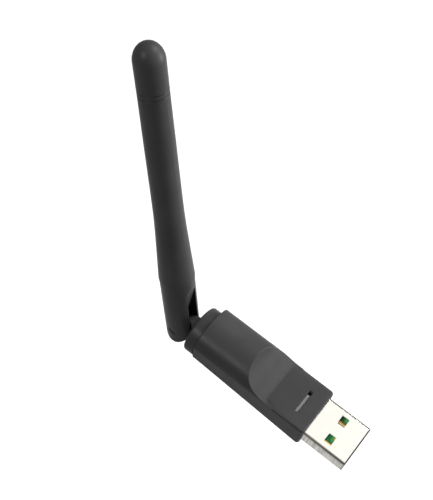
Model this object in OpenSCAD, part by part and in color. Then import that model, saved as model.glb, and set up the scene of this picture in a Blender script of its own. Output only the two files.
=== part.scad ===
// USB wireless adapter with a folding, swivelling antenna.
// Frame: the origin is the middle of the plug where it leaves the housing,
// +X points out along the plug, +Z points up out of the deck,
// and the antenna hangs off the -X end of the stick.

/* [Housing] */
// Length of the plastic housing, front face to rear face
body_l = 33.9; // [32:0.1:40]
// Half of the width of the housing
body_half_w = 6.9; // [6.8:0.05:7.4]
// Height of the flat deck above the plug's middle
deck_z = 4.2; // [4.1:0.05:4.6]
// Depth of the flat underside below the plug's middle
base_z = 3.6; // [3.5:0.05:4.2]
// Height of the rear barrel above the deck
barrel_rise = 5.2; // [4.6:0.1:5.6]
// Radius of the lower edges at the rear end
rear_edge_r = 4.1; // [3:0.1:4.5]
// Radius of the upright corners at the front end
front_corner_r = 0.9; // [0.6:0.1:1.5]
// Chamfer round the front of the deck and the underside
edge_chamfer = 0.35; // [0.2:0.05:0.5]
// Wall thickness of the housing
wall = 1.2; // [1.1:0.05:1.3]
// Gap at the seam between the two housing halves
seam_gap = 0.08; // [0.04:0.02:0.2]

/* [Thumb scoop] */
// Distance from the front face to the top of the scoop
scoop_top_x = 19.95; // [18.5:0.05:21]
// Distance from the front face to where the scoop meets the deck
scoop_foot_x = 10.5; // [9:0.1:12]

/* [Indicator slot] */
// Distance from the front face to the middle of the slot
slot_x = 4.6; // [4:0.1:5.5]
// Length of the slot across the deck
slot_l = 6.6; // [5:0.1:7.5]
// Width of the slot
slot_w = 0.9; // [0.7:0.05:1.2]

/* [Plug] */
// Length of the plug outside the housing
plug_l = 12.2; // [11.8:0.05:12.6]
// Width of the plug's shell
plug_w = 12; // [11.95:0.01:12.1]
// Height of the plug's shell
plug_h = 4.5; // [4.4:0.01:4.6]
// Sheet thickness of the shell
shell_t = 0.3; // [0.28:0.01:0.34]
// Distance from the plug's tip to the middle of the windows
window_x = 6.4; // [6:0.05:6.8]
// Distance of each window's middle from the plug's centre line
window_y = 2.95; // [2.8:0.05:3.1]
// Length of a window along the plug
window_l = 2; // [1.8:0.1:2.5]
// Width of a window across the plug
window_w = 2.5; // [2.2:0.1:2.6]

/* [Swivel] */
// Height of the swivel axis above the plug's middle
axis_z = 0.9; // [0.7:0.05:1.2]
// Radius of the swivel collar
collar_r = 6.5; // [6.2:0.05:6.6]
// Length of the swivel collar
collar_l = 3.2; // [2.8:0.1:3.4]
// Gap between the collar and the housing
collar_gap = 0.3; // [0.28:0.02:0.4]
// Radius of the collar's neck
neck_r = 2.5; // [2.3:0.05:2.7]
// Radial clearance of the neck in its bearing
neck_fit = 0.08; // [0.05:0.01:0.1]

/* [Fold hinge] */
// Distance from the collar's end face to the hinge axis
hinge_reach = 5.2; // [5.2:0.05:5.6]
// Drop of the hinge axis below the swivel axis
hinge_drop = 2.2; // [1.6:0.1:2.4]
// Thickness of the collar's knuckle
knuckle_t = 2.6; // [2.4:0.05:2.8]
// Radius of the knuckle round the hinge axis
knuckle_r = 2.7; // [2.4:0.05:2.8]
// Gap on each side of the knuckle
knuckle_gap = 0.3; // [0.28:0.01:0.32]
// Radius of the hinge pins
pin_r = 1.2; // [1:0.05:1.3]
// Radial clearance of the pins in the knuckle
pin_fit = 0.06; // [0.03:0.01:0.1]

/* [Antenna] */
// Radius of the fork at the antenna's base
fork_r = 4.4; // [4.2:0.01:4.45]
// Distance from the hinge axis to the sheath's lower edge
sheath_s = 18.2; // [17:0.1:19]
// Distance from the hinge axis to the antenna's tip
tip_s = 87.4; // [85:0.1:91]
// Radius of the sheath at its lower edge
sheath_base_r = 4.52; // [4.5:0.01:4.6]
// Radius of the sheath at its slimmest
sheath_waist_r = 3.5; // [3.4:0.05:3.7]
// Radius of the sheath below the dome
sheath_top_r = 3.35; // [3.2:0.01:3.45]
// Width of each ring groove
groove_w = 0.35; // [0.2:0.05:0.5]
// Depth of each ring groove
groove_d = 0.22; // [0.1:0.02:0.3]

/* [Pose] */
// Swivel angle of the antenna about the stick's axis
swivel_rest = -3; // [-175:1:175]
// Fold angle of the antenna, 0 is in line with the stick
fold_rest = 77; // [0:1:90]

/* [Hidden] */

$fn = 64;
eps = 0.01;

// Housing, derived
barrel_top = deck_z + barrel_rise;
skin = 0.1;
rear_wall = 2;
front_wall = 1.5;
cavity_half_w = body_half_w - wall;
cavity_floor = -base_z + wall;
cavity_roof = deck_z - wall;
barrel_cavity_front = scoop_top_x + 1.6;
barrel_cavity_r = 5.6;
barrel_cavity_z = 2.6;
post_x = -19.6;
post_y = 4.5;
post_r = 0.7;
rail_y = 4.9;
rail_half_w = 0.5;
scoop_steps = 18;
// Control points of the scoop's profile, from its top edge to the deck
scoop_curve = [
    [-scoop_top_x, barrel_top + 0.2],
    [-scoop_top_x + 1.35, deck_z + 0.58 * barrel_rise],
    [-scoop_foot_x - 4.7, deck_z + 0.1],
    [-scoop_foot_x, deck_z]
];

// Plug, derived
shell_back = 6.5;
shell_corner = 0.7;
shell_lip = 0.25;
shell_seam = 0.12;
pocket_fit = 0.05;
tab_l = 1.5;
tab_h = 1.1;
tab_t = 0.3;
tab_foot = 0.6;

// Board, derived
board_half_w = 5.5;
board_top = -0.1;
board_t = 1.2;
board_back = 23;
board_tip = plug_l - 0.8;
hole_x = -21.6;
hole_r = 0.5;
contact_t = 0.05;
contact_front = board_tip - 0.5;
contact_half_w = 0.6;
// Middle and length of each contact
contact_rows = [[-3.5, 7.4], [-1, 4.6], [1, 4.6], [3.5, 7.4]];
chip_x = -13.4;
chip_w = 5;
chip_h = 0.85;
chip_lift = 0.02;
inductor_x = -10.6;
inductor_y = -4.15;
inductor_h = 1.4;
led_x = -8.7;
led_half_l = 0.5;
// Middles of the small parts on the board
capacitors_along = [[-15.4, -3.6], [-13.8, -3.6], [-17.4, 3.6], [-15.6, 3.8], [-13.9, 3.8]];
capacitors_across = [[-17.2, 1.2], [-17.2, -1.2], [-9.7, 1.9], [-8.6, -2.6]];
resistor_spots = [[-17.3, -3.8], [-15.4, -4.8], [-13.6, -4.8], [-8.6, 2.8], [-8.6, 4.2]];
spacer_gap = 0.02;
spacer_half_w = 5.25;

// Lead, derived
lead_r = 0.57;
lead_low_z = board_top + lead_r;
lead_start_x = -18.2;
lead_bend_x = -21.6;
lead_rise_x = -25.4;
lead_end_x = -30.8;
lead_split = 0.1;

// Swivel, derived
rear_x = -body_l;
collar_face_x = rear_x - collar_gap;
collar_end_x = collar_face_x - collar_l;
pivot_x = collar_end_x - hinge_reach;
flange_r = 3.5;
flange_pocket_r = 3.8;
flange_t = 1;
flange_gap = 0.3;
flange_x = rear_x + rear_wall + flange_gap;
collar_chamfer = 0.5;
cable_bore_r = 0.62;
bore_step = 0.04;
lead_slot_half_w = 0.72;
boss_l = 0.6;
boss_half_w = 2.6;
boss_up = 3.1;
boss_down = 2.4;
lead_turn_x = collar_end_x + 0.8;
pivot_z = -hinge_drop;

// Hinge and antenna, derived
slot_half = knuckle_t / 2 + knuckle_gap;
slot_floor_s = knuckle_r + 0.6;
slot_back = knuckle_r + 0.3;
ramp_s = 16.2;
pin_inner = lead_r + 0.06;
pin_outer = 4.18;
lead_stub = 0.92;
spigot_l = 5;
spigot_r = 3.55;
sheath_bore_r = 2.5;
sheath_bore_end = tip_s - 4.4;
flare = sheath_base_r - sheath_waist_r;
dome_l = 4;
dome_s = tip_s - dome_l;
groove_1 = dome_s - 7.7;
groove_2 = dome_s - 6.5;
sleeve_r = 2.05;
sleeve_t = 0.3;
sleeve_s = 27;
sleeve_l = 25;
sleeve_end = sleeve_s + sleeve_l;
radiator_r = 0.25;
insulator_r = 0.42;
insulator_l = 4;
radiator_end = sleeve_end + 24;
ring_s = sleeve_s + 8;
ring_l = 5;

// A point of a cubic curve, t from 0 to 1
function cubic(p, t) =
    pow(1 - t, 3) * p[0] + 3 * t * pow(1 - t, 2) * p[1]
    + 3 * t * t * (1 - t) * p[2] + pow(t, 3) * p[3];

// Points of an arc of an ellipse
function arc_points(rx, ry, a0, a1, n) =
    [for (i = [0:n]) let (a = a0 + (a1 - a0) * i / n) [rx * cos(a), ry * sin(a)]];

// A vector of length 1
function unit(v) = v / norm(v);

// A cylinder along +X from x0 to x1
module rod_x(r, x0, x1) {
    translate([x0, 0, 0]) rotate([0, 90, 0]) cylinder(r = r, h = x1 - x0);
}

// A cylinder along +Y from y0 to y1
module rod_y(r, y0, y1) {
    translate([0, y1, 0]) rotate([90, 0, 0]) cylinder(r = r, h = y1 - y0);
}

// A box given by its two corners
module block(a, b) {
    translate(a) cube(b - a);
}

// ---- housing ----

// Lower body: round-edged at the rear, square and chamfered at the front
module lower_form() {
    hull() {
        for (s = [-1, 1]) {
            translate([0, s * (body_half_w - rear_edge_r), rear_edge_r - base_z])
                rotate([0, 90, 0])
                    translate([0, 0, rear_x])
                        cylinder(r = rear_edge_r, h = skin, $fn = 48);
            translate([-front_corner_r, s * (body_half_w - front_corner_r), 0]) {
                translate([0, 0, -base_z + edge_chamfer])
                    cylinder(r = front_corner_r, h = base_z + deck_z - 2 * edge_chamfer, $fn = 32);
                translate([0, 0, -base_z])
                    cylinder(r = front_corner_r - edge_chamfer, h = base_z + deck_z, $fn = 32);
            }
        }
        block([rear_x, -body_half_w, 0], [rear_x + skin, body_half_w, deck_z]);
    }
}

// Raised barrel: half an ellipse standing on the deck
module barrel_form() {
    translate([rear_x, 0, deck_z])
        rotate([90, 0, 90])
            linear_extrude(height = body_l - scoop_foot_x + 1)
                polygon(concat(
                    [[body_half_w, -1]],
                    arc_points(body_half_w, barrel_rise, 0, 180, 44),
                    [[-body_half_w, -1]]
                ));
}

// Everything above the deck and in front of the scoop's curve
module scoop_cutter() {
    rotate([90, 0, 0])
        linear_extrude(height = 4 * body_half_w, center = true)
            polygon(concat(
                [for (i = [0:scoop_steps]) cubic(scoop_curve, i / scoop_steps)],
                [[5, deck_z], [5, barrel_top + 6], [-scoop_top_x - 0.1, barrel_top + 6]]
            ));
}

module outer_form() {
    union() {
        lower_form();
        difference() {
            barrel_form();
            scoop_cutter();
        }
    }
}

// Hollow for the board, the plug's shell and the swivel's flange
module inner_form() {
    block([-barrel_cavity_front - 3, -cavity_half_w, cavity_floor],
          [-front_wall, cavity_half_w, cavity_roof]);
    intersection() {
        translate([0, 0, barrel_cavity_z])
            rod_x(barrel_cavity_r, rear_x + rear_wall, -barrel_cavity_front);
        block([rear_x, -8, cavity_floor], [0, 8, 12]);
    }
    block([-shell_back - tab_l - 0.1, -plug_w / 2 - pocket_fit, -plug_h / 2 - pocket_fit],
          [1, plug_w / 2 + pocket_fit, plug_h / 2 + pocket_fit]);
    translate([0, 0, axis_z]) {
        rod_x(neck_r + neck_fit, rear_x - 1, rear_x + rear_wall + 1);
        rod_x(flange_pocket_r, rear_x + rear_wall, flange_x + flange_t + flange_gap);
    }
}

module upper_cover() {
    color([0.27, 0.27, 0.28]) {
        difference() {
            intersection() {
                outer_form();
                block([rear_x - 1, -10, axis_z], [1, 10, 14]);
            }
            inner_form();
            // indicator slot through the deck
            block([-slot_x - slot_w / 2, -slot_l / 2, 0],
                  [-slot_x + slot_w / 2, slot_l / 2, deck_z + 1]);
        }
        // posts that hold the board down
        for (s = [-1, 1])
            translate([post_x, s * post_y, board_top])
                cylinder(r = post_r, h = cavity_roof - board_top + 0.3);
    }
}

module lower_case() {
    color([0.25, 0.25, 0.26]) {
        difference() {
            intersection() {
                outer_form();
                block([rear_x - 1, -10, -10], [1, 10, axis_z - seam_gap]);
            }
            inner_form();
        }
        // rails under the board
        for (s = [-1, 1])
            block([-board_back + 0.5, s * rail_y - rail_half_w, cavity_floor - 0.2],
                  [-shell_back - 0.8, s * rail_y + rail_half_w, board_top - board_t]);
    }
}

module light_pipe() {
    pipe_w = slot_w - 0.16;
    color([0.82, 0.84, 0.86]) {
        // bar in the slot
        block([-slot_x - pipe_w / 2, -slot_l / 2 + 0.08, plug_h / 2 + 0.1],
              [-slot_x + pipe_w / 2, slot_l / 2 - 1.1, deck_z - 0.35]);
        // arm over the plug's shell
        block([led_x - led_half_l, -1, plug_h / 2 + 0.1], [-slot_x, 1, cavity_roof - 0.08]);
        // leg down to the indicator
        block([led_x - led_half_l, -0.6, board_top + 0.75], [led_x + led_half_l, 0.6, cavity_roof - 0.08]);
    }
}

// ---- plug ----

// Rounded rectangle across the plug
module plug_outline(w, h, r) {
    hull()
        for (a = [-1, 1], b = [-1, 1])
            translate([a * (w / 2 - r), b * (h / 2 - r)]) circle(r = r, $fn = 24);
}

module usb_shell() {
    color([0.86, 0.86, 0.84])
        difference() {
            union() {
                rotate([90, 0, 90])
                    translate([0, 0, -shell_back])
                        linear_extrude(height = shell_back + plug_l)
                            plug_outline(plug_w, plug_h, shell_corner);
                // rear tabs with feet that stand on the board
                for (s = [-1, 1])
                    scale([1, s, 1]) {
                        block([-shell_back - tab_l, plug_w / 2 - shell_t, board_top],
                              [-shell_back + 1, plug_w / 2, board_top + tab_h]);
                        block([-shell_back - tab_l, plug_w / 2 - shell_t - tab_foot, board_top],
                              [-shell_back - 0.2, plug_w / 2, board_top + tab_t]);
                    }
            }
            // inside of the shell
            rotate([90, 0, 90])
                translate([0, 0, -shell_back - eps])
                    linear_extrude(height = shell_back + plug_l + 1)
                        plug_outline(plug_w - 2 * shell_t, plug_h - 2 * shell_t, shell_corner - shell_t);
            // bevelled mouth
            for (s = [-1, 1]) {
                translate([plug_l, 0, s * plug_h / 2])
                    rotate([0, s * 30, 0])
                        cube([2 * shell_lip, 2 * plug_w, 0.3], center = true);
                translate([plug_l, s * plug_w / 2, 0])
                    rotate([0, 0, -s * 30])
                        cube([2 * shell_lip, 0.3, 2 * plug_h], center = true);
            }
            // two windows in the top and two in the bottom
            for (s = [-1, 1])
                block([plug_l - window_x - window_l / 2, s * window_y - window_w / 2, -plug_h],
                      [plug_l - window_x + window_l / 2, s * window_y + window_w / 2, plug_h]);
            // folded seam along the underside
            block([-shell_back - 1, -shell_seam / 2, -plug_h], [plug_l + 1, shell_seam / 2, 0]);
        }
}

module plug_spacer() {
    color([0.1, 0.1, 0.11])
        difference() {
            block([-shell_back + 0.2, -spacer_half_w, -plug_h / 2 + shell_t + spacer_gap],
                  [board_tip - 0.1, spacer_half_w, board_top - board_t - spacer_gap]);
            // shallow bevel at the leading edge
            translate([board_tip - 0.1, 0, -plug_h / 2 + shell_t])
                rotate([0, 45, 0])
                    cube([0.5, 2 * plug_w, 0.5], center = true);
        }
}

// ---- board ----

module main_board() {
    color([0.05, 0.32, 0.16])
        difference() {
            block([-board_back, -board_half_w, board_top - board_t],
                  [board_tip, board_half_w, board_top]);
            // holes beside the hold-down posts
            for (s = [-1, 1])
                translate([hole_x, s * post_y, board_top - 2]) cylinder(r = hole_r, h = 4);
        }
}

module usb_contacts() {
    color([0.83, 0.62, 0.2])
        for (p = contact_rows)
            block([contact_front - p[1], p[0] - contact_half_w, board_top],
                  [contact_front, p[0] + contact_half_w, board_top + contact_t]);
}

module wifi_chip() {
    color([0.08, 0.08, 0.09])
        difference() {
            block([chip_x - chip_w / 2, -chip_w / 2, board_top + chip_lift],
                  [chip_x + chip_w / 2, chip_w / 2, board_top + chip_h]);
            // dimple that marks the first corner
            translate([chip_x + 1.8, 1.8, board_top + 0.8]) cylinder(r = 0.25, h = 1);
        }
}

module crystal() {
    color([0.78, 0.77, 0.74]) {
        block([-12.6, 3.2, board_top], [-9.6, 5.2, board_top + 0.35]);
        block([-12.45, 3.35, board_top + 0.3], [-9.75, 5.05, board_top + 0.75]);
    }
}

module power_inductor() {
    color([0.16, 0.16, 0.17])
        difference() {
            block([inductor_x - 1.3, inductor_y - 1.15, board_top],
                  [inductor_x + 1.3, inductor_y + 1.15, board_top + inductor_h]);
            // round recess over the coil
            translate([inductor_x, inductor_y, board_top + inductor_h - 0.15]) cylinder(r = 0.8, h = 1);
        }
}

// One ceramic capacitor
module capacitor_at(p, turned = false) {
    translate([p[0], p[1], board_top])
        rotate([0, 0, turned ? 90 : 0])
            translate([-0.5, -0.25, 0]) cube([1, 0.5, 0.5]);
}

module capacitors() {
    color([0.7, 0.58, 0.42]) {
        for (p = capacitors_along) capacitor_at(p);
        for (p = capacitors_across) capacitor_at(p, true);
    }
}

module resistors() {
    color([0.12, 0.12, 0.13])
        for (p = resistor_spots)
            translate([p[0] - 0.5, p[1] - 0.25, board_top]) cube([1, 0.5, 0.35]);
}

module status_led() {
    color([0.9, 0.92, 0.85]) {
        block([led_x - 0.8, -0.4, board_top], [led_x + 0.8, 0.4, board_top + 0.3]);
        block([led_x - led_half_l, -0.4, board_top + 0.25], [led_x + led_half_l, 0.4, board_top + 0.6]);
    }
}

module shell_solder() {
    inner = plug_w / 2 - shell_t - tab_foot;
    color([0.72, 0.73, 0.74])
        for (s = [-1, 1])
            scale([1, s, 1])
                translate([-shell_back - tab_l + 0.2, inner, board_top])
                    rotate([90, 0, 90])
                        linear_extrude(height = tab_l - 0.4)
                            polygon([[0, 0], [0, 0.25], [-0.15, 0.12], [-0.4, 0]]);
}

// ---- lead ----

// A round lead through a list of points, with rounded corners
module lead_path(points, r) {
    for (i = [0:len(points) - 2])
        hull() {
            translate(points[i]) sphere(r = r, $fn = 24);
            translate(points[i + 1]) sphere(r = r, $fn = 24);
        }
}

module coax_lead() {
    color([0.35, 0.35, 0.36])
        lead_path([
            [lead_start_x, 0, lead_low_z + 0.01],
            [lead_bend_x, 0, lead_low_z + 0.01],
            [lead_rise_x, 0, axis_z],
            [lead_end_x, 0, axis_z]
        ], lead_r);
}

module lead_solder() {
    color([0.72, 0.73, 0.74]) {
        // core joint in front of the lead's end
        block([lead_start_x + lead_r + 0.02, -0.35, board_top],
              [lead_start_x + lead_r + 1, 0.35, board_top + 0.45]);
        // braid joints on both sides of the lead
        for (s = [-1, 1])
            scale([1, s, 1])
                translate([lead_start_x - 1.6, lead_r + 0.02, board_top])
                    rotate([90, 0, 90])
                        linear_extrude(height = 1.2)
                            polygon([[0, 0], [0, 0.45], [0.5, 0]]);
    }
}

// ---- swivel ----

// Places swivel parts at the rest swivel angle
module swivelled() {
    translate([0, 0, axis_z]) rotate([swivel_rest, 0, 0]) children();
}

module swivel_collar() {
    color([0.25, 0.25, 0.26])
        swivelled()
            difference() {
                union() {
                    // collar with chamfered edges
                    translate([collar_end_x, 0, 0])
                        rotate([0, 90, 0])
                            rotate_extrude()
                                polygon([
                                    [0, 0],
                                    [collar_r - 1.2 * collar_chamfer, 0],
                                    [collar_r - 0.4 * collar_chamfer, 0.3 * collar_chamfer],
                                    [collar_r, collar_chamfer],
                                    [collar_r, collar_l - 0.2],
                                    [collar_r - 0.2, collar_l],
                                    [0, collar_l]
                                ]);
                    rod_x(neck_r, collar_face_x - 1, flange_x + flange_t);
                    rod_x(flange_r, flange_x, flange_x + flange_t);
                    // boss at the root of the knuckle
                    block([collar_end_x - boss_l, -boss_half_w, -boss_down],
                          [collar_end_x + 0.5, boss_half_w, boss_up]);
                    // knuckle, an arm that runs down to a round end
                    rotate([90, 0, 0])
                        linear_extrude(height = knuckle_t, center = true)
                            hull() {
                                translate([pivot_x, pivot_z]) circle(r = knuckle_r, $fn = 72);
                                translate([collar_end_x - boss_l, -boss_down + 0.2])
                                    square([boss_l + 0.5, boss_down + boss_up - 0.6]);
                            }
                }
                // passage for the lead along the swivel axis, then down to the hinge
                rod_x(cable_bore_r, lead_turn_x, flange_x + 2);
                translate([lead_turn_x, 0, 0])
                    rotate([0, -90 - atan2(hinge_drop, lead_turn_x - pivot_x), 0])
                        translate([0, 0, -0.4])
                            cylinder(r = cable_bore_r + bore_step,
                                     h = norm([lead_turn_x - pivot_x, hinge_drop]) + 0.4);
                // slot that lets the lead swing as the antenna folds
                translate([pivot_x, 0, pivot_z])
                    block([-2 * knuckle_r, -lead_slot_half_w, -lead_slot_half_w],
                          [lead_slot_half_w, lead_slot_half_w, 2 * knuckle_r]);
                // bore for the hinge pins
                translate([pivot_x, 0, pivot_z]) rod_y(pin_r + pin_fit, -knuckle_t, knuckle_t);
            }
}

module swivel_coax() {
    color([0.35, 0.35, 0.36])
        swivelled()
            lead_path([
                [lead_end_x - 2 * lead_r - lead_split, 0, 0],
                [lead_turn_x, 0, 0],
                [pivot_x, 0, pivot_z] + (lead_stub + lead_r) * unit([lead_turn_x - pivot_x, 0, hinge_drop])
            ], lead_r);
}

// ---- antenna ----

// Places antenna parts, which are drawn standing along +Z from the hinge axis
module folded() {
    swivelled()
        translate([pivot_x, 0, pivot_z])
            rotate([0, fold_rest - 90, 0])
                children();
}

module hinge_pins() {
    color([0.3, 0.3, 0.31])
        folded()
            for (s = [-1, 1])
                scale([1, s, 1])
                    rod_y(pin_r, pin_inner, pin_outer);
}

module hinge_fork() {
    color([0.25, 0.25, 0.26])
        folded()
            difference() {
                union() {
                    // barrel of the fork with its end rounded about the hinge axis
                    intersection() {
                        translate([0, 0, -fork_r - 1]) cylinder(r = fork_r, h = sheath_s + fork_r + 1);
                        union() {
                            rod_y(fork_r, -2 * fork_r, 2 * fork_r);
                            block([-2 * fork_r, -2 * fork_r, 0], [2 * fork_r, 2 * fork_r, sheath_s]);
                        }
                    }
                    // spigot inside the sheath
                    cylinder(r = spigot_r, h = sheath_s + spigot_l);
                }
                // slot for the knuckle, open to the end and to the inner side of the fold
                block([-slot_back, -slot_half, -2 * fork_r], [2 * fork_r, slot_half, slot_floor_s]);
                // ramp that runs out on the inner side
                rotate([90, 0, 0])
                    linear_extrude(height = 2 * slot_half, center = true)
                        polygon([
                            [0.6, slot_floor_s - eps],
                            [2 * fork_r, slot_floor_s - eps],
                            [2 * fork_r, ramp_s + 6],
                            [fork_r, ramp_s],
                            [2.2, slot_floor_s + 3]
                        ]);
                // passage for the lead
                cylinder(r = cable_bore_r, h = sheath_s + spigot_l + 1);
                // bores for the hinge pins
                rod_y(pin_r, -2 * fork_r, 2 * fork_r);
            }
}

module antenna_sheath() {
    color([0.27, 0.27, 0.28])
        folded()
            difference() {
                rotate_extrude($fn = 96)
                    polygon(concat(
                        [
                            [0, sheath_s + 0.02],
                            [sheath_base_r - 0.12, sheath_s + 0.02],
                            [sheath_base_r, sheath_s + 0.14],
                            [sheath_base_r - 0.04, sheath_s + 1.4],
                            [sheath_waist_r + 0.76 * flare, sheath_s + 5.6],
                            [sheath_waist_r + 0.6 * flare, sheath_s + 9],
                            [sheath_waist_r + 0.42 * flare, sheath_s + 13],
                            [sheath_waist_r + 0.25 * flare, sheath_s + 17],
                            [sheath_waist_r + 0.12 * flare, sheath_s + 21],
                            [sheath_waist_r + 0.04 * flare, sheath_s + 25.5],
                            [sheath_waist_r, sheath_s + 31],
                            [0.6 * sheath_waist_r + 0.4 * sheath_top_r, sheath_s + 44],
                            [sheath_top_r, groove_1 - 1]
                        ],
                        [for (g = [groove_1, groove_2]) for (q = [
                            [0, -groove_w / 2], [-groove_d, -groove_w / 4],
                            [-groove_d, groove_w / 4], [0, groove_w / 2]
                        ]) [sheath_top_r + q[0], g + q[1]]],
                        [for (p = arc_points(sheath_top_r, dome_l, 0, 90, 16))
                            [p[0] < eps ? 0 : p[0], dome_s + p[1]]]
                    ));
                translate([0, 0, sheath_s - 1]) cylinder(r = spigot_r + 0.02, h = spigot_l + 1.1);
                translate([0, 0, sheath_s]) cylinder(r = sheath_bore_r, h = sheath_bore_end - sheath_s);
            }
}

module antenna_coax() {
    color([0.35, 0.35, 0.36])
        folded()
            translate([0, 0, lead_stub]) cylinder(r = lead_r, h = sleeve_end - 0.6 - lead_stub);
}

module dipole_sleeve() {
    color([0.78, 0.6, 0.3])
        folded()
            difference() {
                translate([0, 0, sleeve_s]) cylinder(r = sleeve_r, h = sleeve_l);
                translate([0, 0, sleeve_s - 1]) cylinder(r = sleeve_r - sleeve_t, h = sleeve_l + 2);
            }
}

module sleeve_solder() {
    color([0.72, 0.73, 0.74])
        folded()
            difference() {
                translate([0, 0, sleeve_end - 0.5]) cylinder(r = sleeve_r - sleeve_t - 0.01, h = 0.5);
                translate([0, 0, sleeve_end - 1]) cylinder(r = insulator_r + 0.01, h = 2);
            }
}

module core_insulator() {
    color([0.93, 0.93, 0.9])
        folded()
            difference() {
                translate([0, 0, sleeve_end - 0.55]) cylinder(r = insulator_r, h = insulator_l);
                cylinder(r = radiator_r + 0.01, h = tip_s);
            }
}

module radiator() {
    color([0.8, 0.5, 0.32])
        folded()
            translate([0, 0, sleeve_end - 0.5])
                cylinder(r = radiator_r, h = radiator_end - sleeve_end + 0.5);
}

module sleeve_spacer() {
    color([0.9, 0.9, 0.88])
        folded()
            difference() {
                translate([0, 0, ring_s]) cylinder(r = sheath_bore_r - 0.02, h = ring_l);
                translate([0, 0, ring_s - 1]) cylinder(r = sleeve_r + 0.02, h = ring_l + 2);
            }
}

upper_cover();
lower_case();
light_pipe();
usb_shell();
plug_spacer();
main_board();
usb_contacts();
wifi_chip();
crystal();
power_inductor();
capacitors();
resistors();
status_led();
coax_lead();
lead_solder();
shell_solder();
swivel_collar();
swivel_coax();
hinge_pins();
hinge_fork();
antenna_sheath();
antenna_coax();
dipole_sleeve();
sleeve_solder();
core_insulator();
radiator();
sleeve_spacer();
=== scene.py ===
import bpy
import math
from mathutils import Matrix, Vector


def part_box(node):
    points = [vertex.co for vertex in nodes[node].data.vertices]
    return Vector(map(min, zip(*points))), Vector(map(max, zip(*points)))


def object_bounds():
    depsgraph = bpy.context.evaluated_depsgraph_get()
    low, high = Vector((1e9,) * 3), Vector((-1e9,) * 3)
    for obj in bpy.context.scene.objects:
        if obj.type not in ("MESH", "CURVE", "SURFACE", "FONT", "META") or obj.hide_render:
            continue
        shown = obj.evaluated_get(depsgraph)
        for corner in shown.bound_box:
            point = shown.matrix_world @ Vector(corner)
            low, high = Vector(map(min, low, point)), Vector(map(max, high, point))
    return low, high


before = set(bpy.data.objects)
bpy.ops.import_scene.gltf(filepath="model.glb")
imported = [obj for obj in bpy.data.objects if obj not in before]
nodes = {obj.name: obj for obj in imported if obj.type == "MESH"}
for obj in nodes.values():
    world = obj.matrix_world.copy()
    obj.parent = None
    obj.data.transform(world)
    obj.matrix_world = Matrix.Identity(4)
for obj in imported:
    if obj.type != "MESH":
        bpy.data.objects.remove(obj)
cad_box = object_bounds()

# ---------------------------------------------------------------- camera
# Directions of the camera's right, down and forward in the shared frame, and its place in metres
RIGHT = Vector((0.78122, 0.61632, 0.09916))
DOWN = Vector((0.57337, -0.64563, -0.50438))
FORWARD = Vector((-0.24684, 0.45089, -0.85777))
CAMERA_AT = Vector((0.01184, -0.08875, 0.21009))
SENSOR_MM = 24.0
LENS_MM = 43.2

cam_data = bpy.data.cameras.new("camera")
cam = bpy.data.objects.new("camera", cam_data)
bpy.context.scene.collection.objects.link(cam)
turn = Matrix((RIGHT.normalized(), -DOWN.normalized(), -FORWARD.normalized())).transposed()
cam.matrix_world = Matrix.Translation(CAMERA_AT) @ turn.to_4x4()
cam_data.sensor_fit = "VERTICAL"
cam_data.sensor_height = SENSOR_MM
cam_data.lens = LENS_MM
cam_data.clip_start = 0.005
cam_data.clip_end = 5.0
bpy.context.scene.camera = cam


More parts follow.
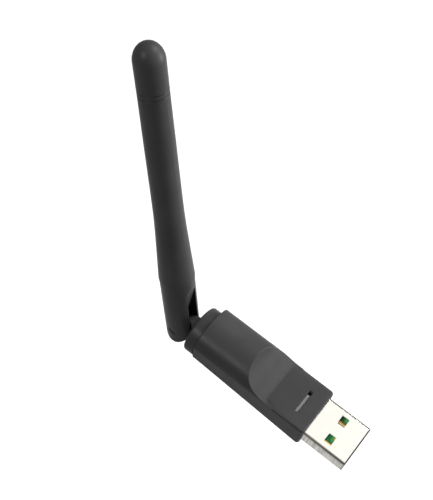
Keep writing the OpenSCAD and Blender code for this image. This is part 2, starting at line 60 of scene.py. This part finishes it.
# ---------------------------------------------------------------- node helpers
class Tree:
    """Builds one material's nodes with few words."""

    def __init__(self, name):
        self.mat = bpy.data.materials.new(name)
        self.mat.use_nodes = True
        self.nt = self.mat.node_tree
        self.nt.nodes.clear()
        self.out = self.add("ShaderNodeOutputMaterial")
        self.coord = self.add("ShaderNodeTexCoord")

    def add(self, kind, **values):
        n = self.nt.nodes.new(kind)
        for k, v in values.items():
            setattr(n, k, v)
        return n

    def link(self, a, b):
        self.nt.links.new(a, b)

    def noise(self, scale, detail=4.0, rough=0.55, stretch=(1, 1, 1)):
        m = self.add("ShaderNodeMapping")
        m.inputs["Scale"].default_value = stretch
        self.link(self.coord.outputs["Object"], m.inputs["Vector"])
        n = self.add("ShaderNodeTexNoise")
        n.inputs["Scale"].default_value = scale
        n.inputs["Detail"].default_value = detail
        n.inputs["Roughness"].default_value = rough
        n.inputs["Distortion"].default_value = 0.0
        self.link(m.outputs["Vector"], n.inputs["Vector"])
        return n.outputs["Fac"]

    def cells(self, scale, stretch=(1, 1, 1)):
        m = self.add("ShaderNodeMapping")
        m.inputs["Scale"].default_value = stretch
        self.link(self.coord.outputs["Object"], m.inputs["Vector"])
        n = self.add("ShaderNodeTexVoronoi")
        n.inputs["Scale"].default_value = scale
        self.link(m.outputs["Vector"], n.inputs["Vector"])
        return n.outputs["Distance"]

    def ramp(self, fac, stops):
        n = self.add("ShaderNodeValToRGB")
        e = n.color_ramp.elements
        while len(e) > 1:
            e.remove(e[-1])
        e[0].position, e[0].color = stops[0][0], (*stops[0][1], 1.0)
        for pos, col in stops[1:]:
            x = e.new(pos)
            x.color = (*col, 1.0)
        self.link(fac, n.inputs["Fac"])
        return n.outputs["Color"]

    def span(self, fac, lo, hi, a=0.3, b=0.7):
        n = self.add("ShaderNodeMapRange")
        n.inputs["From Min"].default_value = a
        n.inputs["From Max"].default_value = b
        n.inputs["To Min"].default_value = lo
        n.inputs["To Max"].default_value = hi
        self.link(fac, n.inputs["Value"])
        return n.outputs["Result"]

    def math(self, op, a, b):
        n = self.add("ShaderNodeMath", operation=op)
        for i, v in enumerate((a, b)):
            if isinstance(v, (int, float)):
                n.inputs[i].default_value = v
            else:
                self.link(v, n.inputs[i])
        return n.outputs["Value"]

    def mix(self, fac, a, b):
        n = self.add("ShaderNodeMix", data_type="RGBA")
        for sock, v in ((n.inputs[0], fac), (n.inputs[6], a), (n.inputs[7], b)):
            if isinstance(v, tuple):
                sock.default_value = (*v, 1.0)
            elif isinstance(v, (int, float)):
                sock.default_value = v
            else:
                self.link(v, sock)
        return n.outputs[2]

    def bump(self, height, strength, distance, normal=None):
        n = self.add("ShaderNodeBump")
        n.inputs["Strength"].default_value = strength
        n.inputs["Distance"].default_value = distance
        self.link(height, n.inputs["Height"])
        if normal is not None:
            self.link(normal, n.inputs["Normal"])
        return n.outputs["Normal"]

    def rounded(self, radius):
        n = self.add("ShaderNodeBevel", samples=8)
        n.inputs["Radius"].default_value = radius
        return n.outputs["Normal"]

    def shader(self, color, rough, normal=None, **values):
        p = self.add("ShaderNodeBsdfPrincipled")
        for sock, v in (("Base Color", color), ("Roughness", rough)):
            if isinstance(v, tuple):
                p.inputs[sock].default_value = (*v, 1.0)
            elif isinstance(v, (int, float)):
                p.inputs[sock].default_value = v
            else:
                self.link(v, p.inputs[sock])
        if normal is not None:
            self.link(normal, p.inputs["Normal"])
        for k, v in values.items():
            p.inputs[k.replace("_", " ")].default_value = v
        self.link(p.outputs["BSDF"], self.out.inputs["Surface"])


GRAIN_DEPTH = 0.000012
MOULDED_EDGE = 0.00025
STREAK_DEPTH = 0.000004
METAL_EDGE = 0.0001


def moulded(name, base, rough=0.5, grain=9000.0, lift=1.25, level=0.030):
    """Satin moulded plastic: fine spark texture, slow tone drift and soft edges."""
    t = Tree(name)
    drift = t.noise(90.0, 3.0)
    fine = t.noise(grain, 3.0, 0.6)
    pits = t.cells(grain * 0.55)
    dust = t.noise(650.0, 6.0, 0.7)
    low = tuple(c * 0.86 for c in base)
    high = tuple(min(1.0, c * lift) for c in base)
    tone = t.ramp(drift, [(0.3, low), (0.7, high)])
    pit = tuple(c * 0.82 for c in base)
    peak = tuple(c * 1.3 for c in base)
    speck = t.ramp(fine, [(0.35, pit), (0.65, peak)])
    color = t.mix(0.35, tone, speck)
    rub = t.math("MULTIPLY", t.span(dust, 0.0, 1.0, 0.45, 0.75), 0.08)
    r = t.math("ADD", t.span(drift, rough - 0.04, rough + 0.05), rub)
    h = t.math("ADD", t.math("MULTIPLY", fine, 0.6), t.math("MULTIPLY", pits, 0.4))
    nrm = t.bump(h, 0.35, GRAIN_DEPTH, t.rounded(MOULDED_EDGE))
    t.shader(color, r, nrm, Specular_IOR_Level=level)
    return t.mat


def metal(name, base, rough, streak=(1, 30, 30)):
    """Rolled or drawn metal: streaks along the work, patchy roughness and a slow tint."""
    t = Tree(name)
    lines = t.noise(900.0, 5.0, 0.65, streak)
    cloud = t.noise(220.0, 4.0)
    low = tuple(c * 0.94 for c in base)
    streaks = t.ramp(lines, [(0.3, low), (0.7, base)])
    tint = t.ramp(cloud, [(0.3, low), (0.75, base)])
    color = t.mix(0.5, streaks, tint)
    r = t.math("ADD", t.span(lines, rough - 0.05, rough + 0.08), t.span(cloud, -0.02, 0.04))
    nrm = t.bump(lines, 0.4, STREAK_DEPTH, t.rounded(METAL_EDGE))
    t.shader(color, r, nrm, Metallic=1.0)
    return t.mat


def use(node, mat):
    o = nodes[node]
    o.data.materials.clear()
    o.data.materials.append(mat)


BLACK = (0.0120, 0.0120, 0.0123)
PART_BLACK = (0.0120, 0.0120, 0.0124)
housing_mat = moulded("satin_black_housing", BLACK, 0.37)
swivel_mat = moulded("satin_black_swivel", PART_BLACK, 0.36)
fork_mat = moulded("satin_black_fork", PART_BLACK, 0.36)
sheath_mat = moulded("satin_black_sheath", PART_BLACK, 0.37)
pin_mat = moulded("pin_black", PART_BLACK, 0.4)
spacer_mat = moulded("spacer_black", (0.02, 0.02, 0.021), 0.5)
chip_mat = moulded("chip_black", (0.022, 0.022, 0.024), 0.55, grain=14000.0)
jacket_mat = moulded("lead_jacket", (0.05, 0.05, 0.05), 0.38, grain=5000.0)
white_mat = moulded("insulator_white", (0.78, 0.78, 0.74), 0.5, lift=1.05, level=0.4)
ceramic_mat = moulded("ceramic_tan", (0.5, 0.36, 0.22), 0.5, level=0.4)


def nickel_material():
    """Nickel-plated sheet: bright on the flats; the drawn side walls are ribbed and rougher, with
    painted darker shade; the bends and cut mouth carry a painted dark edge line.
    """
    t = Tree("nickel_plate")
    lines = t.noise(700.0, 5.0, 0.65, (1, 14, 14))
    cloud = t.noise(220.0, 4.0)
    ribs = t.noise(4200.0, 2.0, 0.5, (1, 1, 0.02))
    bright = (0.96, 0.94, 0.865)
    soft = (0.93, 0.905, 0.825)
    streaks = t.ramp(lines, [(0.3, soft), (0.7, bright)])
    tint = t.ramp(cloud, [(0.3, soft), (0.75, bright)])
    flat = t.mix(0.5, streaks, tint)
    # side walls take darker ribbed tones chosen by normal direction: painted shade over the real
    # drawn ribs
    dark_rib = (0.16, 0.155, 0.14)
    mid_rib = (0.34, 0.33, 0.305)
    pale_rib = (0.50, 0.485, 0.45)
    ribbed_wall_shade = t.ramp(ribs, [(0.34, dark_rib), (0.48, mid_rib), (0.62, pale_rib)])
    split = t.add("ShaderNodeSeparateXYZ")
    t.link(t.coord.outputs["Normal"], split.inputs[0])
    across = t.math("ABSOLUTE", split.outputs["Y"], 0.0)
    side = t.span(across, 0.0, 1.0, 0.55, 0.8)
    # painted shade: a dark edge line along the bends and round the cut mouth, measured in from the
    # shell's side and tip
    shell_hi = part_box("usb_shell")[1]
    rim_start, rim_end = 0.00060, 0.00045
    mouth_start, mouth_end = 0.00042, 0.00030
    place = t.add("ShaderNodeSeparateXYZ")
    t.link(t.coord.outputs["Object"], place.inputs[0])
    wide = t.math("ABSOLUTE", place.outputs["Y"], 0.0)
    rim = t.span(wide, 0.0, 1.0, shell_hi[1] - rim_start, shell_hi[1] - rim_end)
    mouth = t.span(place.outputs["X"], 0.0, 1.0, shell_hi[0] - mouth_start, shell_hi[0] - mouth_end)
    turned = t.span(across, 0.0, 1.0, 0.06, 0.24)
    edge_shade_mask = t.math("MAXIMUM", t.math("MAXIMUM", rim, mouth), turned)
    # painted shade colour for the dark edge line on the bends and mouth
    painted_edge_shade = t.ramp(cloud, [(0.3, (0.10, 0.095, 0.085)), (0.7, (0.16, 0.155, 0.14))])
    color = t.mix(t.span(across, 0.0, 1.0, 0.88, 0.97), t.mix(edge_shade_mask, flat, painted_edge_shade), ribbed_wall_shade)
    r = t.math("ADD", t.span(lines, 0.09, 0.13), t.math("MULTIPLY", side, 0.2))
    h = t.mix(side, lines, ribs)
    rib_depth = 0.000006
    bend_edge = 0.00008
    nrm = t.bump(h, 0.35, rib_depth, t.rounded(bend_edge))
    t.shader(color, r, nrm, Metallic=1.0)
    return t.mat


nickel_mat = nickel_material()
gold_mat = metal("gold_flash", (0.95, 0.66, 0.26), 0.22)
brass_mat = metal("drawn_brass", (0.78, 0.56, 0.27), 0.3, (30, 30, 1))
copper_mat = metal("drawn_copper", (0.85, 0.5, 0.32), 0.3, (30, 30, 1))
can_mat = metal("pressed_can", (0.72, 0.71, 0.68), 0.28)
solder_mat = metal("solder", (0.75, 0.76, 0.77), 0.3, (1, 1, 1))


def board_material():
    """Green board: solder mask over faint tracks."""
    t = Tree("board_green")
    cloud = t.noise(700.0, 4.0)
    tracks = t.cells(900.0, (1.0, 0.3, 1.0))
    color = t.mix(t.span(tracks, 0.0, 1.0, 0.2, 0.35), (0.05, 0.30, 0.10), (0.03, 0.20, 0.07))
    r = t.span(cloud, 0.25, 0.4)
    nrm = t.bump(tracks, 0.3, 0.00001)
    t.shader(color, r, nrm, Coat_Weight=0.3)
    return t.mat


def pipe_material():
    """Smoky light pipe, which looks dark while the indicator is off."""
    t = Tree("light_pipe_clear")
    cloud = t.noise(2500.0, 4.0)
    color = t.ramp(cloud, [(0.3, (0.035, 0.035, 0.037)), (0.7, (0.05, 0.05, 0.053))])
    t.shader(color, t.span(cloud, 0.4, 0.5), t.bump(cloud, 0.2, 0.000003), Specular_IOR_Level=0.2)
    return t.mat


def led_material():
    """Milky resin of the indicator."""
    t = Tree("led_resin")
    cloud = t.noise(3000.0, 4.0)
    color = t.ramp(cloud, [(0.3, (0.7, 0.72, 0.62)), (0.7, (0.86, 0.88, 0.78))])
    t.shader(color, t.span(cloud, 0.15, 0.3), t.bump(cloud, 0.2, 0.00001))
    return t.mat


for names, mat in (
    (("upper_cover", "lower_case"), housing_mat),
    (("swivel_collar",), swivel_mat),
    (("hinge_fork",), fork_mat),
    (("antenna_sheath",), sheath_mat),
    (("hinge_pins",), pin_mat),
    (("plug_spacer",), spacer_mat),
    (("wifi_chip", "power_inductor", "resistors"), chip_mat),
    (("coax_lead", "swivel_coax", "antenna_coax"), jacket_mat),
    (("core_insulator", "sleeve_spacer"), white_mat),
    (("capacitors",), ceramic_mat),
    (("usb_shell",), nickel_mat),
    (("usb_contacts",), gold_mat),
    (("dipole_sleeve",), brass_mat),
    (("radiator",), copper_mat),
    (("crystal",), can_mat),
    (("lead_solder", "shell_solder", "sleeve_solder"), solder_mat),
    (("main_board",), board_material()),
    (("light_pipe",), pipe_material()),
    (("status_led",), led_material()),
):
    for n in names:
        use(n, mat)

# ---------------------------------------------------------------- floor and light
# The antenna swings right round the stick, so the floor lies below its reach
tip_reach = cad_box[1][2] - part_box("swivel_coax")[0][2]
floor_gap = 0.010
floor_z = -tip_reach - floor_gap


def floor():
    """Wide white floor under the whole sweep of the antenna."""
    me = bpy.data.meshes.new("floor")
    s = 4.0
    corners = [(-s, -s, floor_z), (s, -s, floor_z), (s, s, floor_z), (-s, s, floor_z)]
    me.from_pydata(corners, [], [(0, 1, 2, 3)])
    o = bpy.data.objects.new("floor", me)
    bpy.context.scene.collection.objects.link(o)
    t = Tree("floor_white")
    cloud = t.noise(6.0, 3.0)
    color = t.ramp(cloud, [(0.3, (0.225, 0.225, 0.225)), (0.7, (0.235, 0.235, 0.235))])
    t.shader(color, 0.9, None, Specular_IOR_Level=0.1)
    me.materials.append(t.mat)


floor()


def place_light(name, light, at, to):
    """Puts a light at a point and turns it to another."""
    o = bpy.data.objects.new(name, light)
    bpy.context.scene.collection.objects.link(o)
    o.location = at
    o.rotation_euler = (Vector(to) - Vector(at)).to_track_quat("-Z", "Y").to_euler()


def soft_box(name, at, to, size, power):
    """Square soft box, which gives the round parts their highlights."""
    d = bpy.data.lights.new(name, "AREA")
    d.energy = power
    d.shape = "RECTANGLE"
    d.size = size
    d.size_y = size
    place_light(name, d, at, to)


def soft_sun(name, at, to, strength, spread):
    """Distant soft light, so the floor is lit evenly out to the horizon."""
    d = bpy.data.lights.new(name, "SUN")
    d.energy = strength
    d.angle = math.radians(spread)
    place_light(name, d, at, to)


stick_middle = (-0.02, 0.0, 0.015)
fork_middle = (-0.03, 0.0, 0.03)
soft_sun("key", at=(0.20, 0.50, 0.54), to=stick_middle, strength=11.0, spread=30.0)
soft_box("front", at=(-0.19, -0.50, 0.52), to=stick_middle, size=0.12, power=7.5)
soft_box("side", at=(0.28, 0.32, 0.12), to=fork_middle, size=0.2, power=8.0)


def studio_world():
    """Dim studio: a pale band at the horizon, dark above it, pale overhead."""
    w = bpy.data.worlds.new("studio")
    w.use_nodes = True
    nt = w.node_tree
    back = nt.nodes["Background"]
    coord = nt.nodes.new("ShaderNodeTexCoord")
    split = nt.nodes.new("ShaderNodeSeparateXYZ")
    band = nt.nodes.new("ShaderNodeValToRGB")
    nt.links.new(coord.outputs["Generated"], split.inputs[0])
    nt.links.new(split.outputs["Z"], band.inputs["Fac"])
    e = band.color_ramp.elements
    e[0].position, e[0].color = 0.22, (0.75, 0.75, 0.75, 1)
    e[1].position, e[1].color = 0.36, (0.10, 0.10, 0.10, 1)
    for pos, v in ((0.74, 0.10), (0.80, 1.0)):
        x = e.new(pos)
        x.color = (v, v, v, 1)
    nt.links.new(band.outputs["Color"], back.inputs["Color"])
    back.inputs["Strength"].default_value = 1.0
    bpy.context.scene.world = w


studio_world()
bpy.context.scene.view_settings.view_transform = "Standard"
